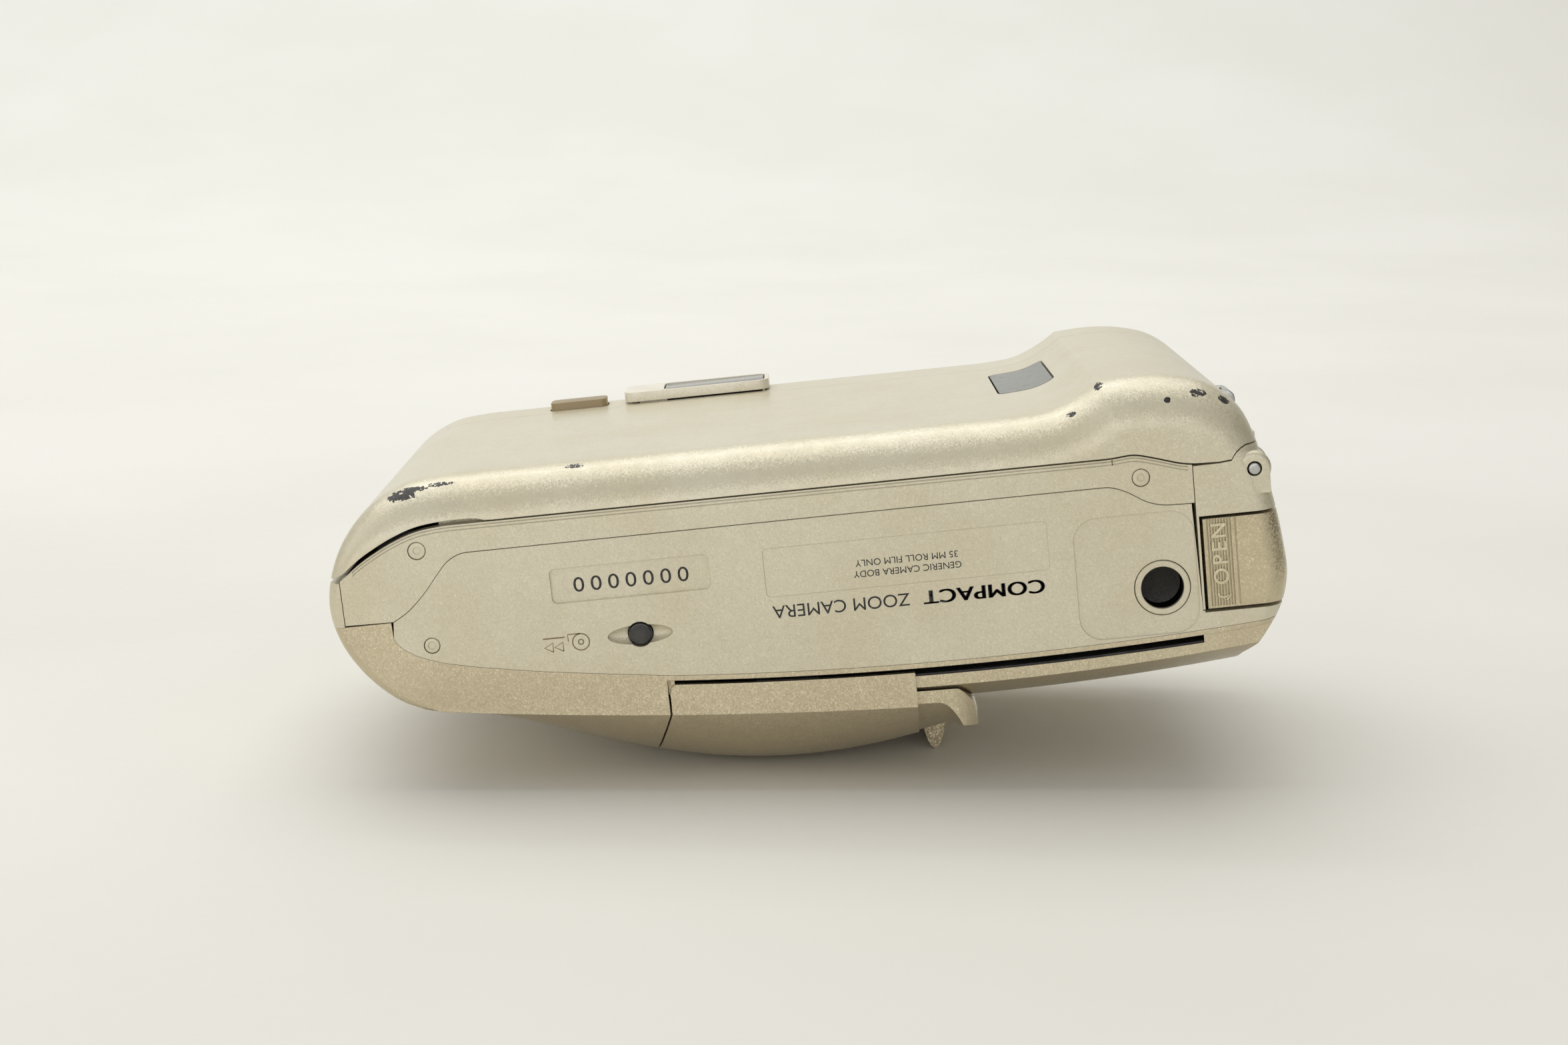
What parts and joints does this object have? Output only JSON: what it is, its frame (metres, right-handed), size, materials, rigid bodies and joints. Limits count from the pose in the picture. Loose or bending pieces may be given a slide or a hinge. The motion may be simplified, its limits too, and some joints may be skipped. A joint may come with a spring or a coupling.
{
  "type": "compact film camera",
  "caption": "Compact film zoom camera with a sliding lens barrier, hinged film door, battery door, button controls, film chassis and tripod socket.",
  "frame": {"origin": "centre of the bounding box's bottom face; the camera lies on its front, so Z = 0 is the tip of the barrier's finger ridge", "axes": "+X along the camera's length towards the film door's hinge and the shutter button (the user's right), +Y from the base to the top plate, +Z from the lens side towards the film door"},
  "size_m": [0.1276, 0.064, 0.0505],
  "materials": {
    "shell": "satin champagne metallic paint",
    "front": "satin champagne metallic paint, a little darker",
    "black": "fine matt black",
    "black_gloss": "polished black",
    "steel": "plain bright",
    "brass": "plain",
    "smoke": "clear smoke grey",
    "clear": "polished",
    "circuit": "green board",
    "foam": "black foam",
    "tan": "tan",
    "cell": "wrapped cell"
  },
  "bodies": {
    "camera_body": {"hinge_pin": "steel", "left_trim": "shell", "rear_frame": "shell", "frame_plug_1": "shell", "frame_plug_2": "shell", "bottom_plate": "shell", "plate_screw": "steel", "tripod_bush": "steel", "grip_side": "shell", "strap_lug": "steel", "battery_box": "black", "battery": "cell", "battery_contact_low": "brass", "battery_contact_high": "brass", "front_cover": "front", "finder_window": "clear", "focus_window": "black_gloss", "flash_window": "clear", "lens_mount": "black", "zoom_barrel": "black", "front_barrel": "black_gloss", "front_element": "clear", "shutter_unit": "black", "rear_element": "clear", "gate_frame": "black", "cassette_room": "black", "spool_room": "black", "wind_motor": "steel", "film_rail_1": "steel", "film_rail_2": "steel", "film_code_contacts": "brass", "light_seal_hinge_side": "foam", "main_board": "circuit", "zoom_motor": "steel", "flash_capacitor": "black_gloss", "flash_reflector": "steel", "flash_tube": "clear", "finder_tube": "black", "top_cover": "shell", "eyepiece_frame": "shell", "eyepiece_lens": "black_gloss", "display_window": "smoke"},
    "film_door": {"film_door": "shell", "film_window": "smoke", "door_hook": "steel", "pressure_spring": "brass"},
    "pressure_plate": {"pressure_plate": "black"},
    "door_release": {"door_release": "shell"},
    "battery_door": {"battery_door": "shell", "battery_door_pin": "steel"},
    "lens_barrier": {"lens_barrier": "front"},
    "shutter_button": {"shutter_button": "shell"},
    "zoom_lever": {"zoom_lever": "black"},
    "mode_button_1": {"mode_button_1": "black"},
    "mode_button_2": {"mode_button_2": "black"},
    "back_button": {"back_button": "tan"},
    "rewind_button": {"rewind_button": "black"},
    "takeup_spool": {"takeup_spool": "black"},
    "sprocket_roller": {"sprocket_roller": "black"},
    "rewind_fork": {"rewind_fork": "black"}
  },
  "joints": [
    {"name": "barrier_slide", "type": "hinge", "parent": "camera_body", "child": "lens_barrier", "pos_m": [0.0216, 0, 0.506], "axis": [0, -1, 0], "range_deg": [0, 4.27]},
    {"name": "film_door_hinge", "type": "hinge", "parent": "camera_body", "child": "film_door", "pos_m": [0.0571, -0.006, 0.038], "axis": [0, 1, 0], "range_deg": [0, 100]},
    {"name": "pressure_plate_float", "type": "slide", "parent": "film_door", "child": "pressure_plate", "axis": [0, 0, 1], "range_m": [0, 0.0004], "stiffness_N_per_m": 500, "springref_m": -0.001, "deforming": ["pressure_spring"]},
    {"name": "door_release_slide", "type": "slide", "parent": "camera_body", "child": "door_release", "axis": [0, -1, 0], "range_m": [0, 0.003], "stiffness_N_per_m": 300, "springref_m": -0.001},
    {"name": "battery_door_hinge", "type": "hinge", "parent": "camera_body", "child": "battery_door", "pos_m": [0.06, 0.0034, 0.0265], "axis": [0, 0, 1], "range_deg": [0, 95]},
    {"name": "shutter_button_press", "type": "slide", "parent": "camera_body", "child": "shutter_button", "axis": [0, -1, 0], "range_m": [0, 0.0007], "stiffness_N_per_m": 600, "springref_m": -0.0005},
    {"name": "zoom_lever_turn", "type": "hinge", "parent": "camera_body", "child": "zoom_lever", "pos_m": [0.044, 0.031, 0.027], "axis": [0, 1, 0], "range_deg": [-18, 18], "stiffness_Nm_per_rad": 0.02},
    {"name": "mode_button_1_press", "type": "slide", "parent": "camera_body", "child": "mode_button_1", "axis": [0, -1, 0], "range_m": [0, 0.0005], "stiffness_N_per_m": 600, "springref_m": -0.0005},
    {"name": "mode_button_2_press", "type": "slide", "parent": "camera_body", "child": "mode_button_2", "axis": [0, -1, 0], "range_m": [0, 0.0005], "stiffness_N_per_m": 600, "springref_m": -0.0005},
    {"name": "back_button_press", "type": "slide", "parent": "camera_body", "child": "back_button", "axis": [0, 0, -1], "range_m": [0, 0.0006], "stiffness_N_per_m": 600, "springref_m": -0.0005},
    {"name": "rewind_button_press", "type": "slide", "parent": "camera_body", "child": "rewind_button", "axis": [0, 1, 0], "range_m": [0, 0.0008], "stiffness_N_per_m": 600, "springref_m": -0.0005},
    {"name": "takeup_spool_turn", "type": "hinge", "parent": "camera_body", "child": "takeup_spool", "pos_m": [-0.0435, -0.006, 0.0315], "axis": [0, 1, 0], "continuous": true},
    {"name": "sprocket_turn", "type": "hinge", "parent": "camera_body", "child": "sprocket_roller", "pos_m": [-0.0293, -0.006, 0.0386], "axis": [0, 1, 0], "continuous": true},
    {"name": "rewind_fork_turn", "type": "hinge", "parent": "camera_body", "child": "rewind_fork", "pos_m": [0.0285, 0.017, 0.0323], "axis": [0, 1, 0], "continuous": true}
  ]
}
